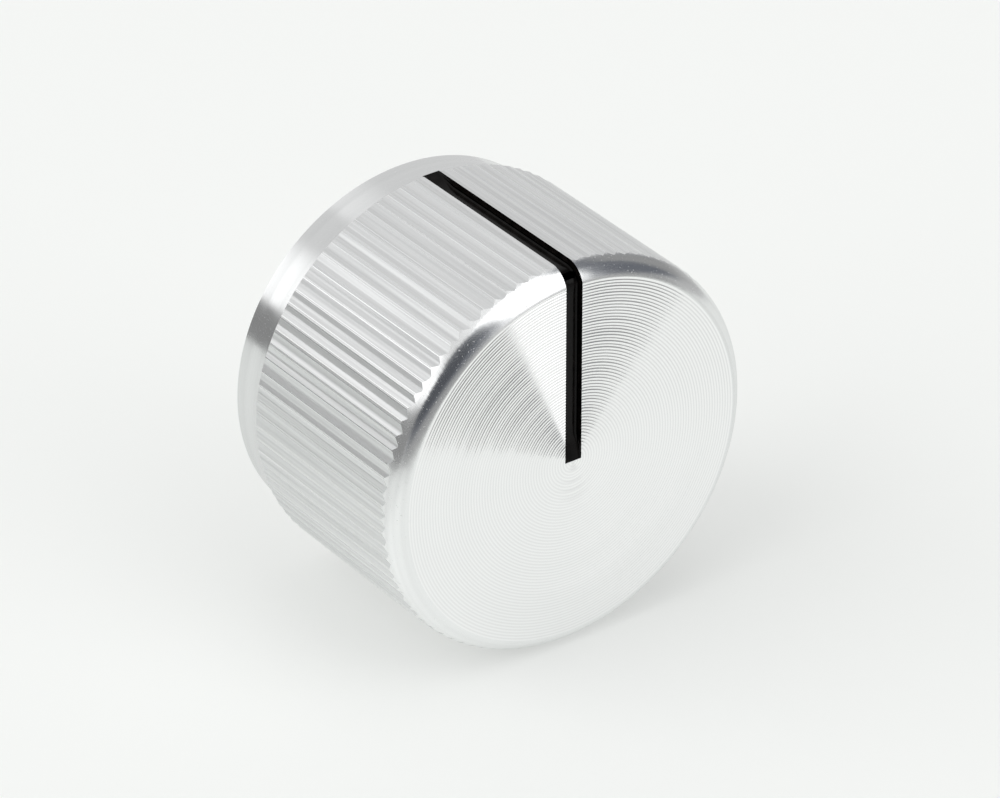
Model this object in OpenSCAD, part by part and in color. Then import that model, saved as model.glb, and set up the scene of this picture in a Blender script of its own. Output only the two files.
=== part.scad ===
// Control knob turned from one aluminium bar: straight knurl, plain band at the base, spun front
// face with a rounded edge, and a milled pointer line that is filled with black paint.
// The knob stands on its base face, with the shaft axis on +Z and the pointer toward -Y.

/* [Body] */
// Diameter over the knurl crests
knob_d = 25.4; // [22:0.1:40]
// Height from the base face to the front face
knob_h = 17; // [15.5:0.1:30]
// Radius of the rounded front edge
edge_r = 1.45; // [0.6:0.05:2]
// Depth of the facing cut below the top of the edge rounding, which leaves a crisp ring there
face_cut = 0.055; // [0.01:0.005:0.1]
// Chamfer round the base face
base_chamfer = 0.05; // [0.02:0.01:0.6]

/* [Band] */
// Diameter of the plain band at the base
band_d = 24.1; // [20:0.1:25]
// Height of the plain band
band_h = 2.85; // [1:0.05:4]

/* [Knurl] */
// Number of teeth round the knob
knurl_count = 90; // [40:1:120]
// Depth of the grooves below the crests
knurl_depth = 0.08; // [0.05:0.01:0.4]
// Flat top of a tooth, as a share of the pitch
crest_share = 0.14; // [0.05:0.01:0.4]
// Flat floor of a groove, as a share of the pitch
root_share = 0.14; // [0.05:0.01:0.4]
// Chamfer at the knurl's lower end, over the band
shoulder_chamfer = 0.12; // [0.05:0.01:0.3]

/* [Pointer] */
// Width of the milled slot
slot_w = 1.15; // [0.6:0.05:2]
// Depth of the slot below the crests and below the front face
slot_depth = 0.6; // [0.4:0.05:0.7]
// Depth of the paint's surface below the crests and below the front face
paint_recess = 0.03; // [0.02:0.01:0.25]

/* [Shaft bore] */
// Diameter of the shaft that the knob fits
shaft_d = 6.35; // [3:0.01:8]
// Clearance between the shaft and the bore, all round
shaft_clearance = 0.025; // [0.005:0.005:0.05]
// Depth of the bore from the base face, without its drill point
bore_depth = 12; // [9:0.1:12.5]
// Chamfer at the mouth of the bore
bore_chamfer = 0.3; // [0.1:0.05:0.8]
// Point angle of the drill, in degrees
drill_angle = 118; // [90:1:140]

/* [Nut recess] */
// Diameter of the recess that clears the panel nut
recess_d = 16; // [10:0.1:18]
// Depth of the recess from the base face
recess_depth = 2; // [0.5:0.1:3]

/* [Set screw] */
// Thread diameter of the set screw
screw_d = 4; // [2.5:0.1:5]
// Length of the set screw
screw_l = 5; // [3:0.1:6]
// Height of the set screw's axis above the base face
screw_z = 7; // [6:0.1:9]
// Clearance between the thread and its hole, all round
screw_clearance = 0.02; // [0.01:0.01:0.1]
// Gap between the set screw's tip and the bore
screw_tip_gap = 0.3; // [0:0.05:1]
// Width across the flats of the hexagon socket
socket_w = 2; // [1:0.1:2.5]
// Depth of the hexagon socket
socket_depth = 2; // [1:0.1:2.5]

/* [Hidden] */
$fn = 180;
// How far every cut runs past the surface that it opens
overrun = 0.5;
// Reach of the edge rounding beyond the knurl crests, which leaves a crisp scalloped edge
edge_lead = 0.005;
// Countersunk cup in the tip of the set screw, as a share of the thread diameter
cup_share = 0.6;
// Chamfer at both ends of the set screw, as a share of the thread diameter
screw_chamfer_share = 0.1;

knob_r = knob_d / 2;
band_r = band_d / 2;
bore_r = shaft_d / 2 + shaft_clearance;
screw_r = screw_d / 2;
screw_hole_r = screw_r + screw_clearance;
screw_chamfer = screw_d * screw_chamfer_share;
cup_r = screw_r * cup_share;
socket_d = socket_w / cos(30);
drill_point = bore_r / tan(drill_angle / 2);
// Centre of the edge rounding, as radius and height
edge_centre = [knob_r + edge_lead - edge_r, knob_h + face_cut - edge_r];
// Floor of the slot, as radius along the side and as height across the face
slot_floor = [knob_r - slot_depth, knob_h - slot_depth];
// Corners of one tooth and groove round the pitch, with the radius that each one lies on
tooth_shares = [-crest_share / 2, crest_share / 2, (1 - root_share) / 2, (1 + root_share) / 2];
tooth_radii = [knob_r, knob_r, knob_r - knurl_depth, knob_r - knurl_depth];
pitch_angle = 360 / knurl_count;

function polar(radius, angle) = radius * [cos(angle), sin(angle)];

function knurl_outline() = [
    for (tooth = [0 : knurl_count - 1])
        for (corner = [0 : len(tooth_shares) - 1])
            polar(tooth_radii[corner], (tooth + tooth_shares[corner]) * pitch_angle)
];

// Area outside the rounded front edge, for a rounding that lies a set distance below the surface
module edge_waste(below = 0) {
    translate(edge_centre)
        difference() {
            square(edge_r + overrun);
            circle(edge_r - below);
        }
}

// Half section of the turned bar before it is knurled
module blank_section() {
    difference() {
        union() {
            square([band_r, knob_h]);
            polygon([
                [0, band_h],
                [knob_r - shoulder_chamfer, band_h],
                [knob_r + overrun, band_h + shoulder_chamfer + overrun],
                [knob_r + overrun, knob_h],
                [0, knob_h],
            ]);
        }
        edge_waste();
        polygon([
            [band_r - base_chamfer, 0],
            [band_r + overrun, -overrun],
            [band_r + overrun, base_chamfer + overrun],
        ]);
    }
}

module knurled_blank() {
    intersection() {
        rotate_extrude()
            blank_section();
        translate([0, 0, -overrun])
            linear_extrude(knob_h + 2 * overrun)
                polygon(knurl_outline());
    }
}

// Blind bore with its drill point, opened by the nut recess
module shaft_bore() {
    translate([0, 0, -overrun])
        cylinder(r = bore_r, h = bore_depth + overrun);
    translate([0, 0, bore_depth])
        cylinder(r1 = bore_r, r2 = 0, h = drill_point);
    translate([0, 0, recess_depth])
        cylinder(r1 = bore_r + bore_chamfer, r2 = bore_r, h = bore_chamfer);
    translate([0, 0, -overrun])
        cylinder(d = recess_d, h = recess_depth + overrun);
}

// Turns a shape that stands on the shaft axis so that it points at the side away from the pointer
module toward_back() {
    translate([0, 0, screw_z])
        rotate([-90, 0, 0])
            children();
}

// Spreads a half section across the width of the slot, on the pointer's side of the knob
module across_slot() {
    translate([slot_w / 2, 0, 0])
        rotate([90, 0, -90])
            linear_extrude(slot_w)
                children();
}

// Half section of the milled slot, from the band's shoulder round the edge to the knob's centre
module slot_section() {
    translate([slot_floor.x, band_h])
        square([slot_depth + overrun, knob_h - band_h + overrun]);
    translate([0, slot_floor.y])
        square([knob_r + overrun, slot_depth + overrun]);
}

// Half section of the paint, which lies on the slot's floor and follows the rounded edge
module paint_section() {
    difference() {
        union() {
            translate([slot_floor.x, band_h])
                square([slot_depth - paint_recess, knob_h - paint_recess - band_h]);
            translate([0, slot_floor.y])
                square([knob_r - paint_recess, slot_depth - paint_recess]);
        }
        edge_waste(below = paint_recess);
    }
}

module knob_body() {
    color("silver")
        difference() {
            knurled_blank();
            shaft_bore();
            across_slot()
                slot_section();
            toward_back()
                cylinder(r = screw_hole_r, h = knob_r + overrun);
        }
}

module indicator_fill() {
    color("black")
        across_slot()
            paint_section();
}

// Headless screw with a hexagon socket outside and a cup point toward the shaft
module set_screw() {
    color("dimgray")
        toward_back()
            translate([0, 0, bore_r + screw_tip_gap])
                difference() {
                    union() {
                        cylinder(r1 = screw_r - screw_chamfer, r2 = screw_r, h = screw_chamfer);
                        translate([0, 0, screw_chamfer])
                            cylinder(r = screw_r, h = screw_l - 2 * screw_chamfer);
                        translate([0, 0, screw_l - screw_chamfer])
                            cylinder(r1 = screw_r, r2 = screw_r - screw_chamfer, h = screw_chamfer);
                    }
                    translate([0, 0, screw_l - socket_depth])
                        cylinder(d = socket_d, h = socket_depth + overrun, $fn = 6);
                    cylinder(r1 = cup_r, r2 = 0, h = cup_r);
                }
}

knob_body();
indicator_fill();
set_screw();
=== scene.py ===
"""Looks of a turned aluminium control knob with a straight knurl and a black pointer line.

The knob stands on its base in the shared frame, with its shaft axis on +Z and its pointer toward -Y.
The photograph shows it lying on its side with the pointer up, so the studio's floor is the upright
plane that touches the knurl opposite the pointer, and the camera's up is -Y.
"""

import logging
import math
import random
from dataclasses import dataclass, field
from enum import Enum

import bmesh
import bpy
from mathutils import Matrix, Vector


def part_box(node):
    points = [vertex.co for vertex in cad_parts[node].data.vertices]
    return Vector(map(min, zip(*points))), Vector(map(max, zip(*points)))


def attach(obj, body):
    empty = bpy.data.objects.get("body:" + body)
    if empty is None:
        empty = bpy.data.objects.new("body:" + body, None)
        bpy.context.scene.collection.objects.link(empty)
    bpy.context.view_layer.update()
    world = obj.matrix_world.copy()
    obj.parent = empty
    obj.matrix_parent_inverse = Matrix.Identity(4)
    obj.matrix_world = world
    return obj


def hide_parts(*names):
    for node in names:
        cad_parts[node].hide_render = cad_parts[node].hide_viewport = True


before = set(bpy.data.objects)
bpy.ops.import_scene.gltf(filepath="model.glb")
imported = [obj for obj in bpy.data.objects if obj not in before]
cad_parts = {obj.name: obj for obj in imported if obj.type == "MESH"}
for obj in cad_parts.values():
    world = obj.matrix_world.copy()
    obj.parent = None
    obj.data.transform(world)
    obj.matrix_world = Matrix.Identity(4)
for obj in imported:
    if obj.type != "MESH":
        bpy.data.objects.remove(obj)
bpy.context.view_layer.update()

MM = 0.001
# Points that are closer than this are one
MERGE_DISTANCE = 1e-7
# Direction that is up in the photograph
UP = Vector((0.0, -1.0, 0.0))
# Tint of the dim part of the room
COOL = (0.92, 0.98, 1.12)
# Angle in degrees above which an edge is crisp, where a piece has none of its own
CREASE = 30.0
# Places of the Mix node's colour sockets, which share their names with its other sockets
MIX_UNDER = 6
MIX_OVER = 7
MIX_RESULT = 2

Colour = tuple[float, float, float]
Section = list[tuple[float, float]]

log = logging.getLogger("knob_scene")


class Grain(Enum):
    """Direction in which a tool or a die left its fine marks."""

    ROUND = "round_grain"
    AXIAL = "axial_grain"


class Region(Enum):
    """Areas of the knob's body that differ in finish, in the order of its material slots."""

    FACE = 0
    EDGE = 1
    KNURL = 2
    BAND = 3
    BORE = 4
    SLOT = 5
    CREST = 6


class Nodes:
    """Short-hand for building one node tree."""

    def __init__(self, tree: bpy.types.NodeTree) -> None:
        """Keeps the tree and empties it.

        Args:
            tree: node tree of a material, a world or a group.
        """
        self.tree = tree
        tree.nodes.clear()

    def add(self, kind: str, *inputs: object, **settings: object) -> bpy.types.Node:
        """Adds a node.

        Args:
            kind: node type without its ShaderNode prefix, or a full identifier.
            inputs: sockets or constants for the node's first inputs, in order.
            settings: properties to set on the node.

        Returns:
            The new node.
        """
        identifier = kind if kind.startswith("Node") else "ShaderNode" + kind
        node = self.tree.nodes.new(identifier)
        for key, value in settings.items():
            setattr(node, key, value)
        for source, target in zip(inputs, node.inputs):
            self.feed(source, target)
        return node

    def feed(self, source: object, target: bpy.types.NodeSocket) -> None:
        """Links a socket to an input, or sets a constant there.

        Args:
            source: output socket or constant.
            target: input socket.
        """
        if isinstance(source, bpy.types.NodeSocket):
            self.tree.links.new(source, target)
        else:
            target.default_value = source

    def math(self, operation: str, *inputs: object) -> bpy.types.NodeSocket:
        """Adds a Math node and gives its output."""
        return self.add("Math", *inputs, operation=operation).outputs[0]

    def join(self, x: object, y: object, z: object) -> bpy.types.NodeSocket:
        """Joins three values into a vector."""
        return self.add("CombineXYZ", x, y, z).outputs[0]

    def split(self, vector: object) -> tuple[bpy.types.NodeSocket, ...]:
        """Splits a vector into its three values."""
        return tuple(self.add("SeparateXYZ", vector).outputs)

    def radius(self, place: object) -> bpy.types.NodeSocket:
        """Finds the distance of a place from the shaft axis."""
        flat = self.add("VectorMath", place, (1.0, 1.0, 0.0), operation="MULTIPLY")
        return self.add("VectorMath", flat.outputs[0], operation="LENGTH").outputs["Value"]

    def remap(self, value: object, low: object, high: object, to_low: object = 0.0,
              to_high: object = 1.0, smooth: bool = False) -> bpy.types.NodeSocket:
        """Adds a clamped Map Range node.

        Args:
            value: socket to map.
            low: value that becomes to_low.
            high: value that becomes to_high.
            to_low: start of the new range.
            to_high: end of the new range.
            smooth: whether the ends are eased.

        Returns:
            The mapped value.
        """
        easing = "SMOOTHSTEP" if smooth else "LINEAR"
        return self.add("MapRange", value, low, high, to_low, to_high, interpolation_type=easing).outputs[0]

    def noise(self, vector: object, scale: object, detail: float,
              rough: float = 0.5) -> bpy.types.NodeSocket:
        """Adds a Noise texture.

        Args:
            vector: place at which the noise is read.
            scale: scale of the noise.
            detail: number of octaves.
            rough: weight of the higher octaves.

        Returns:
            The noise from 0 to 1.
        """
        node = self.add("TexNoise")
        sockets = {"Vector": vector, "Scale": scale, "Detail": detail, "Roughness": rough}
        for name, source in sockets.items():
            self.feed(source, node.inputs[name])
        return node.outputs["Fac"]

    def mix(self, share: object, under: object, over: object) -> bpy.types.NodeSocket:
        """Mixes two colours.

        Args:
            share: share of the second colour, from 0 to 1.
            under: first colour, as a socket or three values.
            over: second colour, as a socket or three values.

        Returns:
            The mixed colour.
        """
        node = self.add("Mix", share, data_type="RGBA")
        for source, place in ((under, MIX_UNDER), (over, MIX_OVER)):
            whole = source if isinstance(source, bpy.types.NodeSocket) else (*source, 1.0)
            self.feed(whole, node.inputs[place])
        return node.outputs[MIX_RESULT]

    def bump(self, height: object, depth: float) -> bpy.types.NodeSocket:
        """Adds a Bump node.

        Args:
            height: relief of the surface, from 0 to 1.
            depth: depth of the whole relief, in metres.

        Returns:
            The bumped normal.
        """
        node = self.add("Bump")
        self.feed(depth, node.inputs["Distance"])
        self.feed(height, node.inputs["Height"])
        return node.outputs["Normal"]

    def principled(self, sockets: dict[str, object]) -> None:
        """Makes a Principled BSDF the material's surface.

        Args:
            sockets: socket or constant for each input that doesn't stay at its default.
        """
        shader = self.add("BsdfPrincipled")
        for name, source in sockets.items():
            self.feed(source, shader.inputs[name])
        self.add("OutputMaterial", shader.outputs["BSDF"])


@dataclass(frozen=True)
class GrainGroup:
    """Node group that reads tool marks in one direction: lines round the axis or along it.

    Attributes:
        grain: direction of the marks.
        arc_share: how fast the marks change along their own length, as a share of across them.
    """

    grain: Grain
    arc_share: float = 0.012

    def tree(self) -> bpy.types.NodeTree:
        """Builds the group once.

        Returns:
            The group, with the outputs Lines, Streaks and Specks, each from 0 to 1.
        """
        found = bpy.data.node_groups.get(self.grain.value)
        if found:
            return found
        tree = bpy.data.node_groups.new(self.grain.value, "ShaderNodeTree")
        tree.interface.new_socket("Vector", in_out="INPUT", socket_type="NodeSocketVector")
        for name in ("Line Scale", "Streak Scale"):
            tree.interface.new_socket(name, in_out="INPUT", socket_type="NodeSocketFloat")
        for name in ("Lines", "Streaks", "Specks"):
            tree.interface.new_socket(name, in_out="OUTPUT", socket_type="NodeSocketFloat")
        nodes = Nodes(tree)
        given = nodes.add("NodeGroupInput").outputs
        place, line_scale = given["Vector"], given["Line Scale"]
        x, y, z = nodes.split(place)
        if self.grain is Grain.ROUND:
            across = nodes.math("MULTIPLY", x, self.arc_share)
            along = nodes.math("MULTIPLY", y, self.arc_share)
            marks = nodes.join(nodes.radius(place), across, nodes.math("ADD", z, along))
        else:
            marks = nodes.join(x, y, nodes.math("MULTIPLY", z, self.arc_share))
        lines = nodes.noise(marks, line_scale, detail=3.0, rough=0.6)
        streaks = nodes.noise(marks, given["Streak Scale"], detail=1.0)
        specks = nodes.noise(place, line_scale, detail=0.0)
        nodes.add("NodeGroupOutput", lines, streaks, specks)
        return tree


@dataclass(frozen=True)
class MetalFinish:
    """Bare metal with tool marks, and with painted ring sheen where a feed is given.

    Attributes:
        name: name of the material.
        dark: colour in the duller streaks.
        light: colour in the brighter streaks.
        gloss: roughness in the brighter streaks.
        dull: roughness in the duller streaks.
        grain: direction of the tool marks.
        line_width: width of the finest marks, in metres.
        streak_width: width of the broader streaks, in metres.
        line_depth: depth of the finest marks, in metres.
        spread: how much further reflections smear round the knob than along it, from 0 to 1.
        nicked: roughness of the tiny nicks, or 0 for none.
        feed: distance that the lathe tool moved in each turn, in metres, which sets the painted ring sheen
            in the colour, or 0 where its rings don't show.
        streak_range: streak noise at the dullest and at the brightest streaks.
        speck_range: speck noise at which a nick starts and is whole.
    """

    name: str
    dark: Colour
    light: Colour
    gloss: float
    dull: float
    grain: Grain
    line_width: float
    streak_width: float
    line_depth: float
    spread: float = 0.0
    nicked: float = 0.0
    feed: float = 0.0
    streak_range: tuple[float, float] = (0.3, 0.7)
    speck_range: tuple[float, float] = (0.77, 0.81)

    def material(self) -> bpy.types.Material:
        """Builds the material.

        Returns:
            The material.
        """
        made = bpy.data.materials.new(self.name)
        made.use_nodes = True
        nodes = Nodes(made.node_tree)
        place = nodes.add("TexCoord").outputs["Object"]
        marks = nodes.add("Group", place, 1.0 / self.line_width, 1.0 / self.streak_width,
                          node_tree=GrainGroup(self.grain).tree()).outputs
        streaks = marks["Streaks"]
        # Painted sheen: with a feed, the colour turns lighter and darker ring by ring, in place of the
        # reflections of the real turning grooves; without one, it follows the random streaks.
        shade = self.painted_ring_sheen(nodes, place) if self.feed else nodes.remap(streaks, *self.streak_range)
        rough = nodes.remap(streaks, *self.streak_range, self.dull, self.gloss)
        nicks = nodes.remap(marks["Specks"], *self.speck_range, 0.0, self.nicked)
        nodes.principled({
            "Base Color": nodes.mix(shade, self.dark, self.light),
            "Metallic": 1.0,
            "Roughness": nodes.math("MAXIMUM", rough, nicks),
            "Anisotropic": self.spread,
            "Tangent": nodes.add("Tangent", direction_type="RADIAL", axis="Z").outputs[0],
            "Normal": nodes.bump(marks["Lines"], self.line_depth),
        })
        return made

    def painted_ring_sheen(self, nodes: Nodes, place: bpy.types.NodeSocket) -> bpy.types.NodeSocket:
        """Paints sheen into the colour, lighter and darker ring by ring at the lathe tool's feed, for the
        lines that the turning grooves mirror.

        Args:
            nodes: the material's nodes.
            place: place on the knob.

        Returns:
            The painted sheen, from 0 to 1.
        """
        wave = nodes.math("SINE", nodes.math("MULTIPLY", nodes.radius(place), math.tau / self.feed))
        return nodes.remap(wave, -1.0, 1.0)


@dataclass(frozen=True)
class EnamelFinish:
    """Black enamel that dried in a slot.

    Attributes:
        name: name of the material.
        dark: colour of the clean paint.
        dusty: colour where dust caught.
        gloss: roughness of the clean paint.
        dull: roughness where dust caught.
        sheen: strength of the mirrored light, where 0.5 is plain gloss paint.
        ripple: size of the ripples, in metres.
        ripple_depth: height of the ripples, in metres.
        ripple_range: ripple noise at the cleanest and at the dustiest paint.
    """

    name: str = "black_enamel"
    dark: Colour = (0.0024, 0.002, 0.0018)
    dusty: Colour = (0.007, 0.0055, 0.005)
    gloss: float = 0.12
    dull: float = 0.2
    sheen: float = 0.12
    ripple: float = 0.5 * MM
    ripple_depth: float = 0.004 * MM
    ripple_range: tuple[float, float] = (0.4, 0.7)

    def material(self) -> bpy.types.Material:
        """Builds the material.

        Returns:
            The material.
        """
        made = bpy.data.materials.new(self.name)
        made.use_nodes = True
        nodes = Nodes(made.node_tree)
        ripple = nodes.noise(nodes.add("TexCoord").outputs["Object"], 1.0 / self.ripple, detail=3.0)
        nodes.principled({
            "Base Color": nodes.mix(nodes.remap(ripple, *self.ripple_range), self.dark, self.dusty),
            "Roughness": nodes.remap(ripple, *self.ripple_range, self.gloss, self.dull),
            "Specular IOR Level": self.sheen,
            "Normal": nodes.bump(ripple, self.ripple_depth),
        })
        return made


class Workshop:
    """Small mesh jobs that the pieces share."""

    @staticmethod
    def piece(name: str, bm: bmesh.types.BMesh, materials: list[bpy.types.Material],
              crease: float = CREASE, flat: tuple[int, ...] = ()) -> bpy.types.Object:
        """Turns a bmesh into an object with smooth faces and crisp creases.

        Args:
            name: name of the piece.
            bm: mesh to use, freed here.
            materials: material slots.
            crease: angle in degrees above which an edge is crisp.
            flat: material slots whose faces stay flat facets.

        Returns:
            The new object, at the origin.
        """
        mesh = bpy.data.meshes.new(name)
        bm.to_mesh(mesh)
        bm.free()
        for material in materials:
            mesh.materials.append(material)
        made = bpy.data.objects.new(name, mesh)
        bpy.context.scene.collection.objects.link(made)
        Workshop.shade(mesh, crease, flat)
        return made

    @staticmethod
    def shade(mesh: bpy.types.Mesh, crease: float = CREASE, flat: tuple[int, ...] = ()) -> None:
        """Smooths a mesh's shading, apart from creases and the lines where two finishes meet.

        Args:
            mesh: mesh to shade.
            crease: angle in degrees above which an edge is crisp.
            flat: material slots whose faces stay flat facets.
        """
        mesh.shade_smooth()
        mesh.set_sharp_from_angle(angle=math.radians(crease))
        bm = bmesh.new()
        bm.from_mesh(mesh)
        for face in bm.faces:
            face.smooth = face.material_index not in flat
        for edge in bm.edges:
            if len({face.material_index for face in edge.link_faces}) > 1:
                edge.smooth = False
        bm.to_mesh(mesh)
        bm.free()

    @staticmethod
    def spin(bm: bmesh.types.BMesh, section: Section, steps: int) -> list[bmesh.types.BMFace]:
        """Turns an open half section round the shaft axis.

        Args:
            bm: mesh to add to.
            section: radius and height of each point, in metres.
            steps: number of steps in the full turn.

        Returns:
            The new faces.
        """
        known = set(bm.faces)
        points = [bm.verts.new((radius, 0.0, height)) for radius, height in section]
        edges = [bm.edges.new(pair) for pair in zip(points, points[1:])]
        bmesh.ops.spin(bm, geom=points + edges, cent=(0, 0, 0), axis=(0, 0, 1), dvec=(0, 0, 0),
                       angle=math.tau, steps=steps, use_merge=True)
        return [face for face in bm.faces if face not in known]

    @staticmethod
    def prism(bm: bmesh.types.BMesh, outline: list[Vector], steps: list[Vector]) -> None:
        """Extrudes a flat outline into a prism, layer by layer, with a wall left between two layers.

        Args:
            bm: mesh to add to.
            outline: corners of the outline in order.
            steps: direction and length of each layer.
        """
        layer = bm.faces.new([bm.verts.new(corner) for corner in outline])
        for along in steps:
            grown = bmesh.ops.extrude_face_region(bm, geom=[layer], use_keep_orig=True)["geom"]
            moved = [item for item in grown if isinstance(item, bmesh.types.BMVert)]
            bmesh.ops.translate(bm, verts=moved, vec=along)
            layer = next(item for item in grown if isinstance(item, bmesh.types.BMFace))

    @staticmethod
    def cut(piece: bpy.types.Object, cutter: bmesh.types.BMesh, material: bpy.types.Material) -> None:
        """Cuts a shape out of a piece.

        Args:
            piece: piece to cut.
            cutter: closed shape to take away, freed here.
            material: finish of the new walls.
        """
        mesh = bpy.data.meshes.new("cutter")
        cutter.to_mesh(mesh)
        cutter.free()
        mesh.materials.append(material)
        tool = bpy.data.objects.new("cutter", mesh)
        bpy.context.scene.collection.objects.link(tool)
        change = piece.modifiers.new("cut", "BOOLEAN")
        change.operation = "DIFFERENCE"
        change.solver = "EXACT"
        change.material_mode = "TRANSFER"
        change.object = tool
        bpy.context.view_layer.update()
        result = bpy.data.meshes.new_from_object(piece.evaluated_get(bpy.context.evaluated_depsgraph_get()))
        piece.modifiers.clear()
        piece.data = result
        bpy.data.objects.remove(tool)


@dataclass
class KnobBody:
    """The turned, knurled and milled body, one piece of aluminium bar.

    Attributes:
        radius: radius over the knurl crests, from the frame.
        height: height of the front face, from the frame.
        shoulder: height at which the knurl starts, from the frame.
        slot_half: half the width of the pointer slot, from the frame.
        screw_radius: radius of the set screw, from the frame.
        screw_height: height of the set screw's axis, from the frame.
        edge_radius: radius of the rounded front edge.
        edge_lead: reach of the rounding beyond the crests, which leaves a crisp scalloped edge.
        face_cut: depth of the facing cut below the top of the rounding.
        band_radius: radius of the plain band at the base.
        base_chamfer: chamfer round the base.
        shoulder_chamfer: chamfer at the lower end of the teeth.
        slot_depth: depth of the pointer slot below the crests and below the face.
        slot_past: how far the slot runs past the centre of the face.
        recess_radius: radius of the recess for the panel nut.
        recess_depth: depth of that recess.
        recess_chamfer: chamfer at the rim of that recess.
        bore_radius: radius of the shaft bore.
        bore_depth: depth of the bore without its drill point.
        bore_chamfer: chamfer at the mouth of the bore.
        drill_point: length of the drill point.
        screw_clearance: gap all round the set screw.
        drill_steps: number of steps round the set screw's hole.
        overrun: how far the cutters run past the surface that they open.
        teeth: number of teeth round the knob.
        tooth_depth: depth of the deepest grooves.
        crest_share: flat top of a tooth, as a share of the pitch.
        root_share: flat floor of a groove, as a share of the pitch.
        corner_share: half the width of a tooth's broken corners, as a share of the pitch.
        crest_spread_share: most that a crest differs in width, as a share of that width.
        depth_spread_share: most that a groove is shallower, as a share of the depth.
        tilt_share: most that one corner of a crest lies lower, as a share of the depth.
        tooth_columns: number of columns round one tooth.
        corner_columns: columns of a tooth at which the burnished corners of its crest start.
        ring_pitch: distance between the turning rings of the face.
        ring_depth: mean depth of a ring.
        ring_spread_share: most that a ring differs in depth, as a share of that depth.
        ring_fall_share: part of a ring over which it falls, on its outer side.
        ring_rise_rows: number of rows in the hollow inner side of a ring.
        ring_rise_share: part of the rise of that hollow that is straight.
        ring_land: flat land between the rim of the face and its first ring.
        face_steps: number of steps round the face.
        edge_rows: number of rows over the rounded edge.
        crease: angle in degrees above which an edge is crisp.
        seed: start of the random draws.
        columns: angle and radius of each column round the knurl, which cut_teeth works out.
    """

    radius: float
    height: float
    shoulder: float
    slot_half: float
    screw_radius: float
    screw_height: float
    edge_radius: float = 1.45 * MM
    edge_lead: float = 0.005 * MM
    face_cut: float = 0.055 * MM
    band_radius: float = 12.05 * MM
    base_chamfer: float = 0.05 * MM
    shoulder_chamfer: float = 0.12 * MM
    slot_depth: float = 0.6 * MM
    slot_past: float = 0.001 * MM
    recess_radius: float = 8.0 * MM
    recess_depth: float = 2.0 * MM
    recess_chamfer: float = 0.08 * MM
    bore_radius: float = 3.2 * MM
    bore_depth: float = 12.0 * MM
    bore_chamfer: float = 0.3 * MM
    drill_point: float = 1.92 * MM
    screw_clearance: float = 0.02 * MM
    drill_steps: int = 64
    overrun: float = 0.5 * MM
    teeth: int = 90
    tooth_depth: float = 0.08 * MM
    crest_share: float = 0.14
    root_share: float = 0.14
    corner_share: float = 0.025
    crest_spread_share: float = 0.5
    depth_spread_share: float = 0.45
    tilt_share: float = 0.5
    tooth_columns: int = 8
    corner_columns: tuple[int, int] = (2, 4)
    ring_pitch: float = 0.1925 * MM
    ring_depth: float = 0.025 * MM
    ring_spread_share: float = 0.1
    ring_fall_share: float = 0.62
    ring_rise_rows: int = 3
    ring_rise_share: float = 0.45
    ring_land: float = 0.01 * MM
    face_steps: int = 240
    edge_rows: int = 10
    crease: float = 24.0
    seed: int = 7
    columns: Section = field(default_factory=list)

    @property
    def slot_side(self) -> float:
        """Radius of the slot's floor along the side."""
        return self.radius - self.slot_depth

    @property
    def slot_face(self) -> float:
        """Height of the slot's floor across the face."""
        return self.height - self.slot_depth

    @property
    def edge_centre(self) -> tuple[float, float]:
        """Radius and height of the centre of the edge rounding."""
        lift = self.height + self.face_cut - self.edge_radius
        return self.radius + self.edge_lead - self.edge_radius, lift

    @property
    def edge_turn(self) -> float:
        """Angle through which the rounding runs before the face cuts it off."""
        return math.asin(1 - self.face_cut / self.edge_radius)

    def cut_teeth(self) -> None:
        """Works out the angle and radius of each column round the knurl, tooth by tooth.

        The wheel that rolled the knurl pressed no two teeth alike, so they differ in the width and
        the tilt of their crests and in depth.
        """
        draw = random.Random(self.seed)
        pitch = math.tau / self.teeth
        bevel = self.corner_share
        root = (1 - self.root_share) / 2
        self.columns.clear()
        for tooth in range(self.teeth):
            crest = self.crest_share / 2 * (1 + draw.uniform(-1, 1) * self.crest_spread_share)
            depth = self.tooth_depth * (1 - draw.uniform(0, 1) * self.depth_spread_share)
            tilt = draw.uniform(-1, 1) * self.tilt_share
            for side in (-1, 1):
                low = max(0.0, side * tilt)
                fall = (1 - low) * bevel / (root - crest)
                half = [(crest - bevel, low), (crest + bevel, low + fall),
                        (root - bevel, 1 - fall), (root + bevel, 1.0)]
                for share, sink in half[::side]:
                    self.columns.append(((tooth + side * share) * pitch, self.radius - depth * sink))

    def shell_section(self) -> Section:
        """Half section from the end of the bore, round the base, up the side to the rim of the face.

        Returns:
            Radius and height of each point.
        """
        centre_radius, centre_height = self.edge_centre
        rim, base = self.recess_chamfer, self.base_chamfer
        points = [
            (0.0, self.bore_depth + self.drill_point),
            (self.bore_radius, self.bore_depth),
            (self.bore_radius, self.recess_depth + self.bore_chamfer),
            (self.bore_radius + self.bore_chamfer, self.recess_depth),
            (self.recess_radius, self.recess_depth),
            (self.recess_radius, rim),
            (self.recess_radius + rim, 0.0),
            (self.band_radius - base, 0.0),
            (self.band_radius, base),
            (self.band_radius, self.shoulder),
            (self.radius - self.shoulder_chamfer, self.shoulder),
            (self.radius, self.shoulder + self.shoulder_chamfer),
            (self.radius, (self.shoulder + centre_height) / 2),
        ]
        for row in range(self.edge_rows + 1):
            turn = self.edge_turn * row / self.edge_rows
            lead = self.edge_lead if row == 0 else 0.0
            points.append((centre_radius + self.edge_radius * math.cos(turn) - lead,
                           centre_height + self.edge_radius * math.sin(turn)))
        return points

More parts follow.
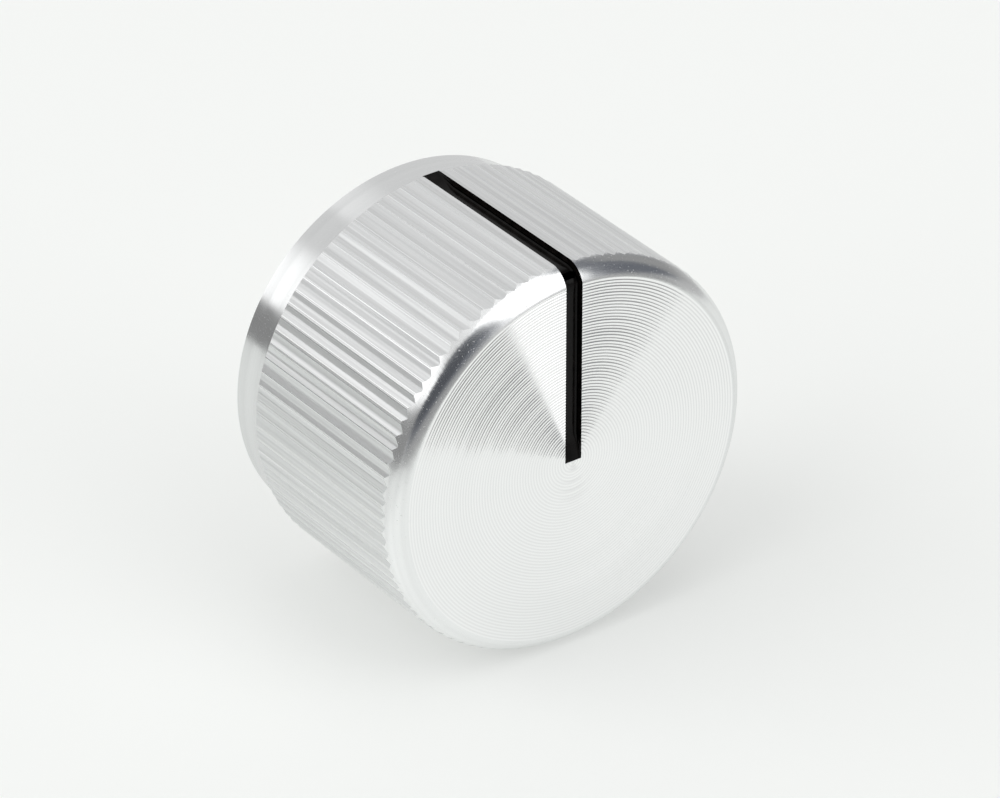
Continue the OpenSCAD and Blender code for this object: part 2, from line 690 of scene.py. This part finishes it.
    def face_section(self) -> Section:
        """Half section of the spun face: one groove for each turn of the feed, hollow on its inner side.

        Returns:
            Radius and height of each point, from the rim to the centre.
        """
        draw = random.Random(self.seed)
        start = self.edge_centre[0] + self.edge_radius * math.cos(self.edge_turn) - self.ring_land
        pitch = self.ring_pitch
        points = []
        for ring in range(int(start / pitch)):
            depth = self.ring_depth * (1 + draw.uniform(-1, 1) * self.ring_spread_share)
            outside = start - ring * pitch
            valley = outside - self.ring_fall_share * pitch
            points.append((outside, self.height))
            for row in range(self.ring_rise_rows):
                along = row / self.ring_rise_rows
                rise = self.ring_rise_share * along + (1 - self.ring_rise_share) * along ** 2
                radius = valley - along * (1 - self.ring_fall_share) * pitch
                points.append((radius, self.height - depth * (1 - rise)))
        return points + [(outside - pitch, self.height), (0.0, self.height)]

    def region_of(self, face: bmesh.types.BMFace) -> Region:
        """Names the region of a shell face by where it lies on the plain turned bar.

        Args:
            face: face of the shell before it is knurled.

        Returns:
            The region.
        """
        middle = face.calc_center_median()
        radius, height = middle.xy.length, middle.z
        if height > self.edge_centre[1]:
            return Region.EDGE
        if height > self.shoulder + self.shoulder_chamfer and radius > self.band_radius:
            column = int(math.atan2(middle.y, middle.x) % math.tau / math.tau * len(self.columns))
            return Region.CREST if column % self.tooth_columns in self.corner_columns else Region.KNURL
        if radius > self.band_radius - self.base_chamfer:
            return Region.BAND
        return Region.BORE

    def press_knurl(self, verts: list[bmesh.types.BMVert]) -> None:
        """Moves the plain side and the rounded edge onto the teeth, with a scalloped line where they meet.

        Args:
            verts: vertices of the shell.
        """
        centre_radius, centre_height = self.edge_centre
        count = len(self.columns)
        tiny = self.edge_lead / 2
        start = self.shoulder + self.shoulder_chamfer
        for vert in verts:
            radius, height = vert.co.xy.length, vert.co.z
            below = height < start - tiny
            inside = radius < self.band_radius - tiny and height < centre_height + tiny
            if below or inside or radius < centre_radius - tiny:
                continue
            column = round(math.atan2(vert.co.y, vert.co.x) / math.tau * count) % count
            plain = math.tau * column / count
            angle, tooth_radius = self.columns[column]
            angle = plain + math.remainder(angle - plain, math.tau)
            meet = math.acos((tooth_radius - centre_radius) / self.edge_radius)
            if height <= centre_height + tiny:
                share = (height - start) / (centre_height - start)
                low = start - (self.radius - tooth_radius)
                top = centre_height + self.edge_radius * math.sin(meet)
                new_radius, new_height = tooth_radius, low + share * (top - low)
            else:
                share = math.atan2(height - centre_height, radius - centre_radius) / self.edge_turn
                turn = meet + share * (self.edge_turn - meet)
                new_radius = centre_radius + self.edge_radius * math.cos(turn)
                new_height = centre_height + self.edge_radius * math.sin(turn)
                angle += (plain - angle) * share
            vert.co = (new_radius * math.cos(angle), new_radius * math.sin(angle), new_height)

    def turned_shell(self) -> bmesh.types.BMesh:
        """Builds the closed body without the slot and the screw hole.

        Returns:
            The mesh.
        """
        bm = bmesh.new()
        self.cut_teeth()
        shell = Workshop.spin(bm, self.shell_section(), len(self.columns))
        for face in shell:
            face.material_index = self.region_of(face).value
        self.press_knurl(list(bm.verts))
        Workshop.spin(bm, self.face_section(), self.face_steps)
        bmesh.ops.remove_doubles(bm, verts=bm.verts, dist=MERGE_DISTANCE)
        rims = [edge for edge in bm.edges if edge.is_boundary]
        bmesh.ops.bridge_loops(bm, edges=rims)
        bmesh.ops.recalc_face_normals(bm, faces=bm.faces)
        return bm

    def slot_cutter(self) -> bmesh.types.BMesh:
        """Builds the path of the milling cutter, along the side and across the face to the centre.

        Returns:
            The closed shape to take away.
        """
        bm = bmesh.new()
        out, top = -(self.radius + self.overrun), self.height + self.overrun
        low = self.shoulder - self.overrun
        corners = [(out, low), (-self.slot_side, low), (-self.slot_side, self.slot_face),
                   (self.slot_past, self.slot_face), (self.slot_past, top), (out, top)]
        outline = [Vector((-self.slot_half, depth, height)) for depth, height in corners]
        Workshop.prism(bm, outline, [Vector((2 * self.slot_half, 0.0, 0.0))])
        bmesh.ops.recalc_face_normals(bm, faces=bm.faces)
        return bm

    def screw_cutter(self) -> bmesh.types.BMesh:
        """Builds the drill of the set screw's hole, from the bore out through the side opposite the pointer.

        Returns:
            The closed shape to take away.
        """
        bm = bmesh.new()
        drill = self.screw_radius + self.screw_clearance
        length = self.radius + self.overrun
        turned = Matrix.Rotation(math.pi / 2, 4, "X")
        place = Matrix.Translation((0.0, length / 2, self.screw_height)) @ turned
        bmesh.ops.create_cone(bm, cap_ends=True, segments=self.drill_steps, radius1=drill, radius2=drill,
                              depth=length, matrix=place)
        return bm

    def build(self, finishes: dict[Region, bpy.types.Material]) -> bpy.types.Object:
        """Builds and dresses the body.

        Args:
            finishes: material of each region.

        Returns:
            The body, which stands for the CAD node knob_body.
        """
        materials = [finishes[region] for region in Region]
        flat = (Region.KNURL.value, Region.CREST.value)
        made = Workshop.piece("turned_body", self.turned_shell(), materials, self.crease, flat)
        Workshop.cut(made, self.slot_cutter(), finishes[Region.SLOT])
        Workshop.cut(made, self.screw_cutter(), finishes[Region.BORE])
        Workshop.shade(made.data, self.crease, flat)
        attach(made, "root")
        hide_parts("knob_body")
        return made


@dataclass
class PointerPaint:
    """Black enamel in the pointer slot, which dried to a coat with a hollow channel along its middle.

    Attributes:
        half: half the width of the slot.
        side: radius of the paint's rim along the side.
        face: height of the paint's rim across the face.
        floor_side: radius of the slot's floor along the side.
        floor_face: height of the slot's floor across the face.
        shoulder: height at which the slot runs out over the band.
        bend: radius and height of the centre of the knob's edge rounding.
        sag: how far the middle of the surface lies below its rims.
        run_out: length over which the channel rises at each end of the slot.
        wall_power: how steeply the channel's walls fall, as the power of the share of the half width.
        width_shares: places of the mesh lines across the slot, as shares of its half width.
        stride: greatest length of a strip along the slot.
        bend_steps: number of strips round the knob's edge.
        crease: angle in degrees above which an edge is crisp.
    """

    half: float
    side: float
    face: float
    floor_side: float
    floor_face: float
    shoulder: float
    bend: tuple[float, float]
    sag: float = 0.45 * MM
    run_out: float = 1.4 * MM
    wall_power: int = 12
    width_shares: tuple[float, ...] = (-1.0, -0.97, -0.93, -0.86, -0.7, 0.0, 0.7, 0.86, 0.93, 0.97, 1.0)
    stride: float = 0.8 * MM
    bend_steps: int = 8
    crease: float = 40.0

    def surface(self) -> list[tuple[Vector, Vector]]:
        """Follows the paint's surface from the centre of the face to the band.

        Returns:
            Place and inward direction of each point, in the plane of the pointer.
        """
        bend_radius, bend_height = self.bend
        reach = self.side - bend_radius
        first = math.acos((self.face - bend_height) / reach)
        rim = bend_radius + reach * math.sin(first)
        inward_face, inward_side = Vector((0, 0, -1)), Vector((0, 1, 0))
        count = math.ceil(rim / self.stride)
        points = [(Vector((0, -rim * i / count, self.face)), inward_face) for i in range(count)]
        for i in range(self.bend_steps + 1):
            turn = first + (math.pi / 2 - first) * i / self.bend_steps
            out = Vector((0, -math.sin(turn), math.cos(turn)))
            points.append((Vector((0, -bend_radius, bend_height)) + reach * out, -out))
        length = bend_height - self.shoulder
        count = math.ceil(length / self.stride)
        points += [(Vector((0, -self.side, bend_height - length * i / count)), inward_side)
                   for i in range(1, count + 1)]
        return points

    def build(self, finish: bpy.types.Material) -> bpy.types.Object:
        """Builds and dresses the paint.

        Args:
            finish: its material.

        Returns:
            The paint, which stands for the CAD node indicator_fill.
        """
        bm = bmesh.new()
        surface = self.surface()
        under = [(-self.floor_side, self.shoulder), (-self.floor_side, self.floor_face),
                 (0.0, self.floor_face)]
        aside = Vector((-self.half, 0, 0))
        outline = [place + aside for place, _ in surface]
        outline += [Vector((-self.half, *corner)) for corner in under]
        pairs = zip(self.width_shares, self.width_shares[1:])
        Workshop.prism(bm, outline, [Vector((self.half * (after - share), 0, 0)) for share, after in pairs])
        self.sink(bm, surface)
        bmesh.ops.recalc_face_normals(bm, faces=bm.faces)
        made = Workshop.piece("pointer_paint", bm, [finish], self.crease)
        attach(made, "root")
        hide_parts("indicator_fill")
        return made

    @staticmethod
    def spot(place: Vector) -> tuple[int, int]:
        """Names a place by where it lies in the plane of the pointer, however far it is to the side."""
        return round(place.y / MERGE_DISTANCE), round(place.z / MERGE_DISTANCE)

    def sink(self, bm: bmesh.types.BMesh, surface: list[tuple[Vector, Vector]]) -> None:
        """Hollows the surface between the slot's walls, less and less toward the two ends of the slot.

        Args:
            bm: the paint's mesh.
            surface: place and inward direction of each point of the surface.
        """
        inward = {self.spot(place): way for place, way in surface}
        for vert in bm.verts:
            way = inward.get(self.spot(vert.co))
            if way is not None:
                hollow = 1 - abs(vert.co.x / self.half) ** self.wall_power
                from_end = min(-vert.co.y, vert.co.z - self.shoulder)
                vert.co += way * self.sag * hollow * min(1.0, from_end / self.run_out)


@dataclass
class SetScrew:
    """Headless screw with a hexagon socket and a cup point, and the thread in the hole over it.

    Attributes:
        radius: radius over the thread, from the frame.
        height: height of the axis over the base, from the frame.
        tip: distance of the cup point from the shaft axis, from the frame.
        top: distance of the socket's end from the shaft axis, from the frame.
        mouth: distance at which the hole's own thread ends.
        pitch: pitch of the thread.
        thread_depth: depth of the thread.
        thread_clearance: gap between the screw and its hole.
        flank_share: half the width of the ridge of the hole's thread, as a share of the pitch.
        end_chamfer: chamfer at both ends of the screw.
        cup_radius: radius and depth of the cup.
        socket_width: width across the flats of the socket.
        socket_depth: depth of the socket.
        socket_sides: number of flats of the socket.
        turn_steps: number of steps in a full turn.
    """

    radius: float
    height: float
    tip: float
    top: float
    mouth: float
    pitch: float = 0.7 * MM
    thread_depth: float = 0.3 * MM
    thread_clearance: float = 0.02 * MM
    flank_share: float = 0.42
    end_chamfer: float = 0.4 * MM
    cup_radius: float = 1.2 * MM
    socket_width: float = 2.0 * MM
    socket_depth: float = 2.0 * MM
    socket_sides: int = 6
    turn_steps: int = 48

    @property
    def place(self) -> Matrix:
        """Turns the shaft axis to the screw's own axis."""
        return Matrix.Translation((0, 0, self.height)) @ Matrix.Rotation(-math.pi / 2, 4, "X")

    def screw_section(self) -> Section:
        """Half section of the screw along its own axis.

        Returns:
            Radius and distance along the axis of each point.
        """
        root = self.radius - self.thread_depth
        end = self.radius - self.end_chamfer
        points = [(0.0, self.tip + self.cup_radius), (self.cup_radius, self.tip), (end, self.tip)]
        turns = int((self.top - self.tip - 2 * self.end_chamfer) / self.pitch)
        for turn in range(turns):
            start = self.tip + self.end_chamfer + turn * self.pitch
            points += [(self.radius, start), (root, start + self.pitch / 2)]
        points += [(self.radius, self.top - self.end_chamfer), (end, self.top), (0.0, self.top)]
        return points

    def build(self, finish: bpy.types.Material) -> bpy.types.Object:
        """Builds and dresses the screw.

        Args:
            finish: its material.

        Returns:
            The screw, which stands for the CAD node set_screw.
        """
        bm = bmesh.new()
        Workshop.spin(bm, self.screw_section(), self.turn_steps)
        bmesh.ops.remove_doubles(bm, verts=bm.verts, dist=MERGE_DISTANCE)
        bmesh.ops.recalc_face_normals(bm, faces=bm.faces)
        bmesh.ops.transform(bm, matrix=self.place, verts=bm.verts)
        made = Workshop.piece("grub_screw", bm, [finish])
        key = bmesh.new()
        corner = self.socket_width / 2 / math.cos(math.pi / self.socket_sides)
        middle = Matrix.Translation((0, 0, self.top))
        bmesh.ops.create_cone(key, cap_ends=True, segments=self.socket_sides, radius1=corner, radius2=corner,
                              depth=2 * self.socket_depth, matrix=self.place @ middle)
        Workshop.cut(made, key, finish)
        Workshop.shade(made.data)
        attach(made, "root")
        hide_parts("set_screw")
        return made

    def build_thread(self, finish: bpy.types.Material) -> bpy.types.Object:
        """Builds the ridge of the tapped thread between the screw and the mouth of its hole.

        Args:
            finish: its material.

        Returns:
            The ridge.
        """
        bm = bmesh.new()
        wall = self.radius + 2 * self.thread_clearance
        half = self.pitch * self.flank_share
        start = self.top + half
        corners = [(wall, start - half), (wall - self.thread_depth, start), (wall, start + half)]
        points = [bm.verts.new((radius, 0, along)) for radius, along in corners]
        edges = [bm.edges.new((points[i - 1], points[i])) for i in range(len(points))]
        turns = (self.mouth - half - start) / self.pitch
        steps = round(turns * self.turn_steps)
        bmesh.ops.spin(bm, geom=points + edges, cent=(0, 0, 0), axis=(0, 0, 1), angle=math.tau * turns,
                       dvec=(0, 0, self.pitch * turns / steps), steps=steps)
        bmesh.ops.holes_fill(bm, edges=bm.edges, sides=len(points))
        bmesh.ops.recalc_face_normals(bm, faces=bm.faces)
        bmesh.ops.transform(bm, matrix=self.place, verts=bm.verts)
        made = Workshop.piece("tapped_thread", bm, [finish])
        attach(made, "root")
        return made


def heading(bearing: float, height: float) -> Vector:
    """Finds a direction in the studio.

    Args:
        bearing: degrees round the room, from the way the knob's face looks toward +X.
        height: degrees above the floor.

    Returns:
        The direction, of length one.
    """
    turn, rise = math.radians(bearing), math.radians(height)
    return Vector((math.cos(rise) * math.sin(turn), -math.sin(rise), math.cos(rise) * math.cos(turn)))


@dataclass(frozen=True)
class Panel:
    """Flat panel of light, as the knob sees it.

    Attributes:
        name: what it stands for.
        level: brightness of the panel.
        corners: bearing and height of each corner in degrees, in order round the panel.
        soft: width of the fade at its edges in degrees.
        tint: colour of its light.
    """

    name: str
    level: float
    corners: tuple[tuple[float, float], ...]
    soft: float
    tint: Colour = (1.0, 1.0, 1.0)

    def edges(self) -> list[Vector]:
        """Finds the planes through the knob and each edge of the panel.

        Returns:
            Inward normal of each plane.
        """
        looks = [heading(*corner) for corner in self.corners]
        middle = sum(looks, Vector())
        normals = [one.cross(other).normalized() for one, other in zip(looks, looks[1:] + looks[:1])]
        return [normal if normal.dot(middle) > 0 else -normal for normal in normals]


@dataclass
class Studio:
    """Floor, light and camera.

    Attributes:
        floor_offset: distance of the floor from the shaft axis.
        centre: middle of the knob, at which the camera aims before its shifts.
        panels: panels of light, each laid over the ones before it.
        elevation: height of the camera over the floor, in degrees as the knob sees it.
        bearing: bearing of the camera, in degrees.
        distance: distance of the camera from the middle of the knob.
        shift_right: how far the camera is moved to its right.
        shift_up: how far the camera is moved up.
        focal_pixels: focal length, in pixels of the photograph.
        image_width: width of the photograph, in pixels.
        sensor: width of the camera's sensor, in millimetres.
        floor_front: reach of the floor in front of the base of the knob.
        floor_back: reach of the floor behind the base of the knob.
        floor_side: reach of the floor to each side.
        floor_squares: number of squares along each side of the floor.
        floor_colour: colour of the floor.
        floor_glow: strength of the floor's even glow, which the camera and the metal see and which lightens
            the floor and its shadows alike.
        painted_pool_place: middle of a painted pool of light in the floor's glow as the metal mirrors it,
            along X and Z.
        painted_pool_reach: distances from there at which that painted pool starts and ends its fall.
        painted_pool_share: share of that painted pool's glow that is left beyond.
        lamp_bearing: bearing of the soft lamp, in degrees.
        lamp_height: height of the lamp, in degrees.
        lamp_spread: width of the lamp, in degrees.
        lamp_power: strength of the lamp.
        wall_level: brightness of the wall behind the knob.
        room_level: brightness of the room in front of the knob.
        room_bearing: bearing of the middle of that room, in degrees.
        room_soft: width of the fade from the room to the wall, in degrees.
    """

    floor_offset: float
    centre: Vector
    panels: tuple[Panel, ...]
    elevation: float = 31.054
    bearing: float = 35.838
    distance: float = 338.43 * MM
    shift_right: float = 0.733 * MM
    shift_up: float = 0.029 * MM
    focal_pixels: float = 5747.88
    image_width: float = 1000.0
    sensor: float = 36.0
    floor_front: float = 88.0 * MM
    floor_back: float = 160.0 * MM
    floor_side: float = 150.0 * MM
    floor_squares: int = 8
    floor_colour: Colour = (0.5, 0.507, 0.497)
    floor_glow: float = 0.79
    painted_pool_place: tuple[float, float] = (4.0 * MM, 40.0 * MM)
    painted_pool_reach: tuple[float, float] = (28.0 * MM, 48.0 * MM)
    painted_pool_share: float = 0.72
    lamp_bearing: float = 100.0
    lamp_height: float = 35.0
    lamp_spread: float = 70.0
    lamp_power: float = 1.15
    wall_level: float = 0.69
    room_level: float = 0.14
    room_bearing: float = -29.0
    room_soft: float = 16.0

    def floor(self) -> bpy.types.Object:
        """Builds the pale floor, which shows from the knob's side only.

        Returns:
            The floor.
        """
        bm = bmesh.new()
        half_length = (self.floor_front + self.floor_back) / 2
        place = Matrix.Translation((0.0, self.floor_offset, self.floor_front - half_length))
        turned = place @ Matrix.Rotation(math.pi / 2, 4, "X")
        spread = Matrix.Diagonal((self.floor_side, half_length, 1.0, 1.0))
        bmesh.ops.create_grid(bm, x_segments=self.floor_squares, y_segments=self.floor_squares, size=1.0,
                              matrix=turned @ spread)
        made = Workshop.piece("studio_floor", bm, [self.floor_material()])
        return made

    def floor_material(self) -> bpy.types.Material:
        """Builds the floor's sheet, which glows evenly for the camera, glows in the metal with a painted
        pool of light, and is clear from behind.

        Returns:
            The material.
        """
        made = bpy.data.materials.new("floor_sheet")
        made.use_nodes = True
        nodes = Nodes(made.node_tree)
        colour = (*self.floor_colour, 1.0)
        across, along = self.painted_pool_place
        place = nodes.add("TexCoord").outputs["Object"]
        # Painted pool of light: the glow that glossy rays see is full round one place on the floor and falls
        # with distance to a share of itself, while the camera sees it even.
        apart = nodes.add("VectorMath", place, (across, self.floor_offset, along), operation="DISTANCE")
        fade = nodes.remap(apart.outputs["Value"], *self.painted_pool_reach, 1.0, self.painted_pool_share, smooth=True)
        rays = nodes.add("LightPath").outputs
        mirrored = nodes.math("MULTIPLY", rays["Is Glossy Ray"], fade)
        seen = nodes.math("MAXIMUM", rays["Is Camera Ray"], mirrored)
        glow = nodes.add("Emission", colour, nodes.math("MULTIPLY", seen, self.floor_glow))
        sheet = nodes.add("BsdfDiffuse", colour)
        both = nodes.add("AddShader", sheet.outputs[0], glow.outputs[0])
        behind = nodes.add("NewGeometry").outputs["Backfacing"]
        choice = nodes.add("MixShader", behind, both.outputs[0], nodes.add("BsdfTransparent").outputs[0])
        nodes.add("OutputMaterial", choice.outputs[0])
        return made

    def world(self) -> None:
        """Builds the pale wall behind the knob, the dim room in front of it and the light panels."""
        world = bpy.data.worlds.new("studio")
        bpy.context.scene.world = world
        world.use_nodes = True
        nodes = Nodes(world.node_tree)
        look = nodes.add("TexCoord").outputs["Generated"]
        room = self.side_of(nodes, look, heading(self.room_bearing, 0.0), self.room_soft)
        light = nodes.mix(room, (self.wall_level,) * 3, tuple(self.room_level * part for part in COOL))
        for panel in self.panels:
            mask = 1.0
            for normal in panel.edges():
                mask = nodes.math("MULTIPLY", mask, self.side_of(nodes, look, normal, panel.soft))
            light = nodes.mix(mask, light, tuple(panel.level * part for part in panel.tint))
        nodes.add("OutputWorld", nodes.add("Background", light).outputs[0])

    @staticmethod
    def side_of(nodes: Nodes, look: bpy.types.NodeSocket, normal: Vector,
                soft: float) -> bpy.types.NodeSocket:
        """Tells on which side of a plane through the knob a ray goes.

        Args:
            nodes: the world's nodes.
            look: direction of the ray.
            normal: normal of the plane.
            soft: width of the fade at the plane, in degrees.

        Returns:
            1 on the normal's side and 0 on the other.
        """
        product = nodes.add("VectorMath", look, normal, operation="DOT_PRODUCT")
        fade = math.sin(math.radians(soft) / 2)
        return nodes.remap(product.outputs["Value"], -fade, fade, smooth=True)

    def lamp(self) -> None:
        """Hangs the soft lamp on the left, which lights the floor and isn't mirrored in the metal."""
        data = bpy.data.lights.new("left_lamp", "SUN")
        data.energy = self.lamp_power
        data.angle = math.radians(self.lamp_spread)
        made = bpy.data.objects.new("left_lamp", data)
        source = heading(self.lamp_bearing, self.lamp_height)
        made.matrix_world = source.to_track_quat("Z", "Y").to_matrix().to_4x4()
        made.visible_glossy = False
        bpy.context.scene.collection.objects.link(made)

    def camera(self) -> None:
        """Sets the camera at the photograph's view of the knob."""
        back = heading(self.bearing, self.elevation)
        right = UP.cross(back).normalized()
        up = back.cross(right)
        place = self.centre + self.distance * back + self.shift_right * right + self.shift_up * up
        data = bpy.data.cameras.new("photo_camera")
        data.sensor_fit = "HORIZONTAL"
        data.sensor_width = self.sensor
        data.lens = self.focal_pixels * self.sensor / self.image_width
        data.clip_start = MM
        made = bpy.data.objects.new("photo_camera", data)
        made.matrix_world = Matrix.Translation(place) @ Matrix((right, up, back)).transposed().to_4x4()
        bpy.context.scene.collection.objects.link(made)
        bpy.context.scene.camera = made


def studio_panels() -> tuple[Panel, ...]:
    """Names the panels that the bare metal mirrors.

    Returns:
        The panels, each laid over the ones before it.
    """
    return (
        Panel("right_side", level=0.29, soft=10.0,
              corners=((-116.0, -30.0), (-116.0, 45.0), (-82.0, 45.0), (-82.0, -30.0))),
        Panel("dark_corner", level=0.08, soft=10.0, tint=COOL,
              corners=((12.0, 10.0), (18.0, 52.0), (72.0, 57.0), (68.0, 8.0))),
        Panel("right_rise", level=0.48, soft=10.0,
              corners=((-122.0, -30.0), (-122.0, 2.0), (-55.0, 4.0), (-55.0, -30.0))),
        Panel("front_rise", level=0.34, soft=8.0,
              corners=((-60.0, -30.0), (-60.0, 5.0), (10.0, 7.0), (62.0, 2.0), (62.0, -30.0))),
        Panel("floor_gap", level=0.26, soft=6.0,
              corners=((64.0, -30.0), (64.0, 24.0), (165.0, 8.0), (165.0, -30.0))),
        Panel("ceiling", level=0.88, soft=10.0,
              corners=((55.0, 60.0), (118.0, 58.0), (150.0, 55.0), (-150.0, 55.0), (-112.0, 64.0),
                       (-75.0, 68.0))),
        Panel("sheet_foot", level=0.92, soft=4.0,
              corners=((-21.0, -15.0), (-14.0, 8.0), (-33.0, 8.0), (-28.0, -15.0))),
        Panel("front_sheet", level=1.7, soft=4.0,
              corners=((-15.0, 4.0), (73.0, 68.0), (-142.0, 70.0), (-32.0, 4.0))),
        Panel("left_box", level=1.25, soft=4.0,
              corners=((60.0, 24.0), (60.0, 39.0), (151.0, 37.0), (143.0, 10.0))),
        Panel("back_lamp", level=0.95, soft=4.0,
              corners=((173.0, 42.0), (173.0, 50.0), (200.0, 50.0), (200.0, 42.0))),
    )


def body_finishes(feed: float) -> dict[Region, bpy.types.Material]:
    """Builds the finish of each region of the body.

    Args:
        feed: distance between the turning rings of the face.

    Returns:
        Material of each region.
    """
    finishes = {
        Region.FACE: MetalFinish(
            "spun_face", dark=(0.89, 0.895, 0.895), light=(0.97, 0.975, 0.975), gloss=0.08, dull=0.11,
            grain=Grain.ROUND, line_width=0.02 * MM, streak_width=0.06 * MM, line_depth=0.0002 * MM,
            feed=feed),
        Region.EDGE: MetalFinish(
            "polished_edge", dark=(0.88, 0.89, 0.89), light=(0.93, 0.94, 0.94), gloss=0.18, dull=0.24,
            grain=Grain.ROUND, line_width=0.08 * MM, streak_width=0.3 * MM, line_depth=0.0006 * MM,
            nicked=0.6),
        Region.KNURL: MetalFinish(
            "knurled_side", dark=(0.75, 0.76, 0.76), light=(0.88, 0.89, 0.89), gloss=0.3, dull=0.38,
            grain=Grain.AXIAL, line_width=0.06 * MM, streak_width=0.2 * MM, line_depth=0.004 * MM,
            spread=0.5),
        Region.BAND: MetalFinish(
            "plain_band", dark=(0.82, 0.83, 0.83), light=(0.87, 0.88, 0.88), gloss=0.11, dull=0.17,
            grain=Grain.ROUND, line_width=0.05 * MM, streak_width=0.4 * MM, line_depth=0.0004 * MM,
            nicked=0.4),
        Region.BORE: MetalFinish(
            "bored_underside", dark=(0.74, 0.75, 0.75), light=(0.88, 0.89, 0.89), gloss=0.25, dull=0.36,
            grain=Grain.ROUND, line_width=0.08 * MM, streak_width=0.5 * MM, line_depth=0.002 * MM),
        Region.SLOT: MetalFinish(
            "milled_slot", dark=(0.6, 0.6, 0.6), light=(0.8, 0.8, 0.8), gloss=0.3, dull=0.4,
            grain=Grain.AXIAL, line_width=0.05 * MM, streak_width=0.3 * MM, line_depth=0.001 * MM),
        Region.CREST: MetalFinish(
            "burnished_crest", dark=(0.9, 0.91, 0.91), light=(0.95, 0.96, 0.96), gloss=0.15, dull=0.22,
            grain=Grain.AXIAL, line_width=0.05 * MM, streak_width=0.3 * MM, line_depth=0.001 * MM),
    }
    return {region: finish.material() for region, finish in finishes.items()}


def screw_finish() -> bpy.types.Material:
    """Builds the dark oxide of the set screw.

    Returns:
        The material.
    """
    oxide = MetalFinish(
        "oxide_steel", dark=(0.03, 0.03, 0.032), light=(0.07, 0.07, 0.074), gloss=0.3, dull=0.45,
        grain=Grain.ROUND, line_width=0.05 * MM, streak_width=0.4 * MM, line_depth=0.001 * MM)
    return oxide.material()


def main() -> None:
    """Builds the knob and the studio round it."""
    logging.basicConfig(level=logging.INFO, format="%(name)s: %(message)s")
    _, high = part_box("knob_body")
    paint_low, paint_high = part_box("indicator_fill")
    screw_low, screw_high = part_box("set_screw")
    body = KnobBody(
        radius=high.x,
        height=high.z,
        shoulder=paint_low.z,
        slot_half=paint_high.x,
        screw_radius=screw_high.x,
        screw_height=(screw_low.z + screw_high.z) / 2,
    )
    paint = PointerPaint(
        half=body.slot_half,
        side=-paint_low.y,
        face=paint_high.z,
        floor_side=body.slot_side,
        floor_face=body.slot_face,
        shoulder=body.shoulder,
        bend=body.edge_centre,
    )
    screw = SetScrew(
        radius=body.screw_radius,
        height=body.screw_height,
        tip=screw_low.y,
        top=screw_high.y,
        mouth=body.radius - 2 * body.tooth_depth,
    )
    finishes = body_finishes(body.ring_pitch)
    pieces = (
        body.build(finishes),
        paint.build(EnamelFinish().material()),
        screw.build(screw_finish()),
        screw.build_thread(finishes[Region.BORE]),
    )
    for made in pieces:
        log.info("%s: %d faces", made.name, len(made.data.polygons))
    studio = Studio(floor_offset=high.x, centre=Vector((0.0, 0.0, high.z / 2)), panels=studio_panels())
    studio.floor()
    studio.world()
    studio.lamp()
    studio.camera()
    bpy.context.scene.view_settings.view_transform = "Standard"


if __name__ == "__main__":
    main()
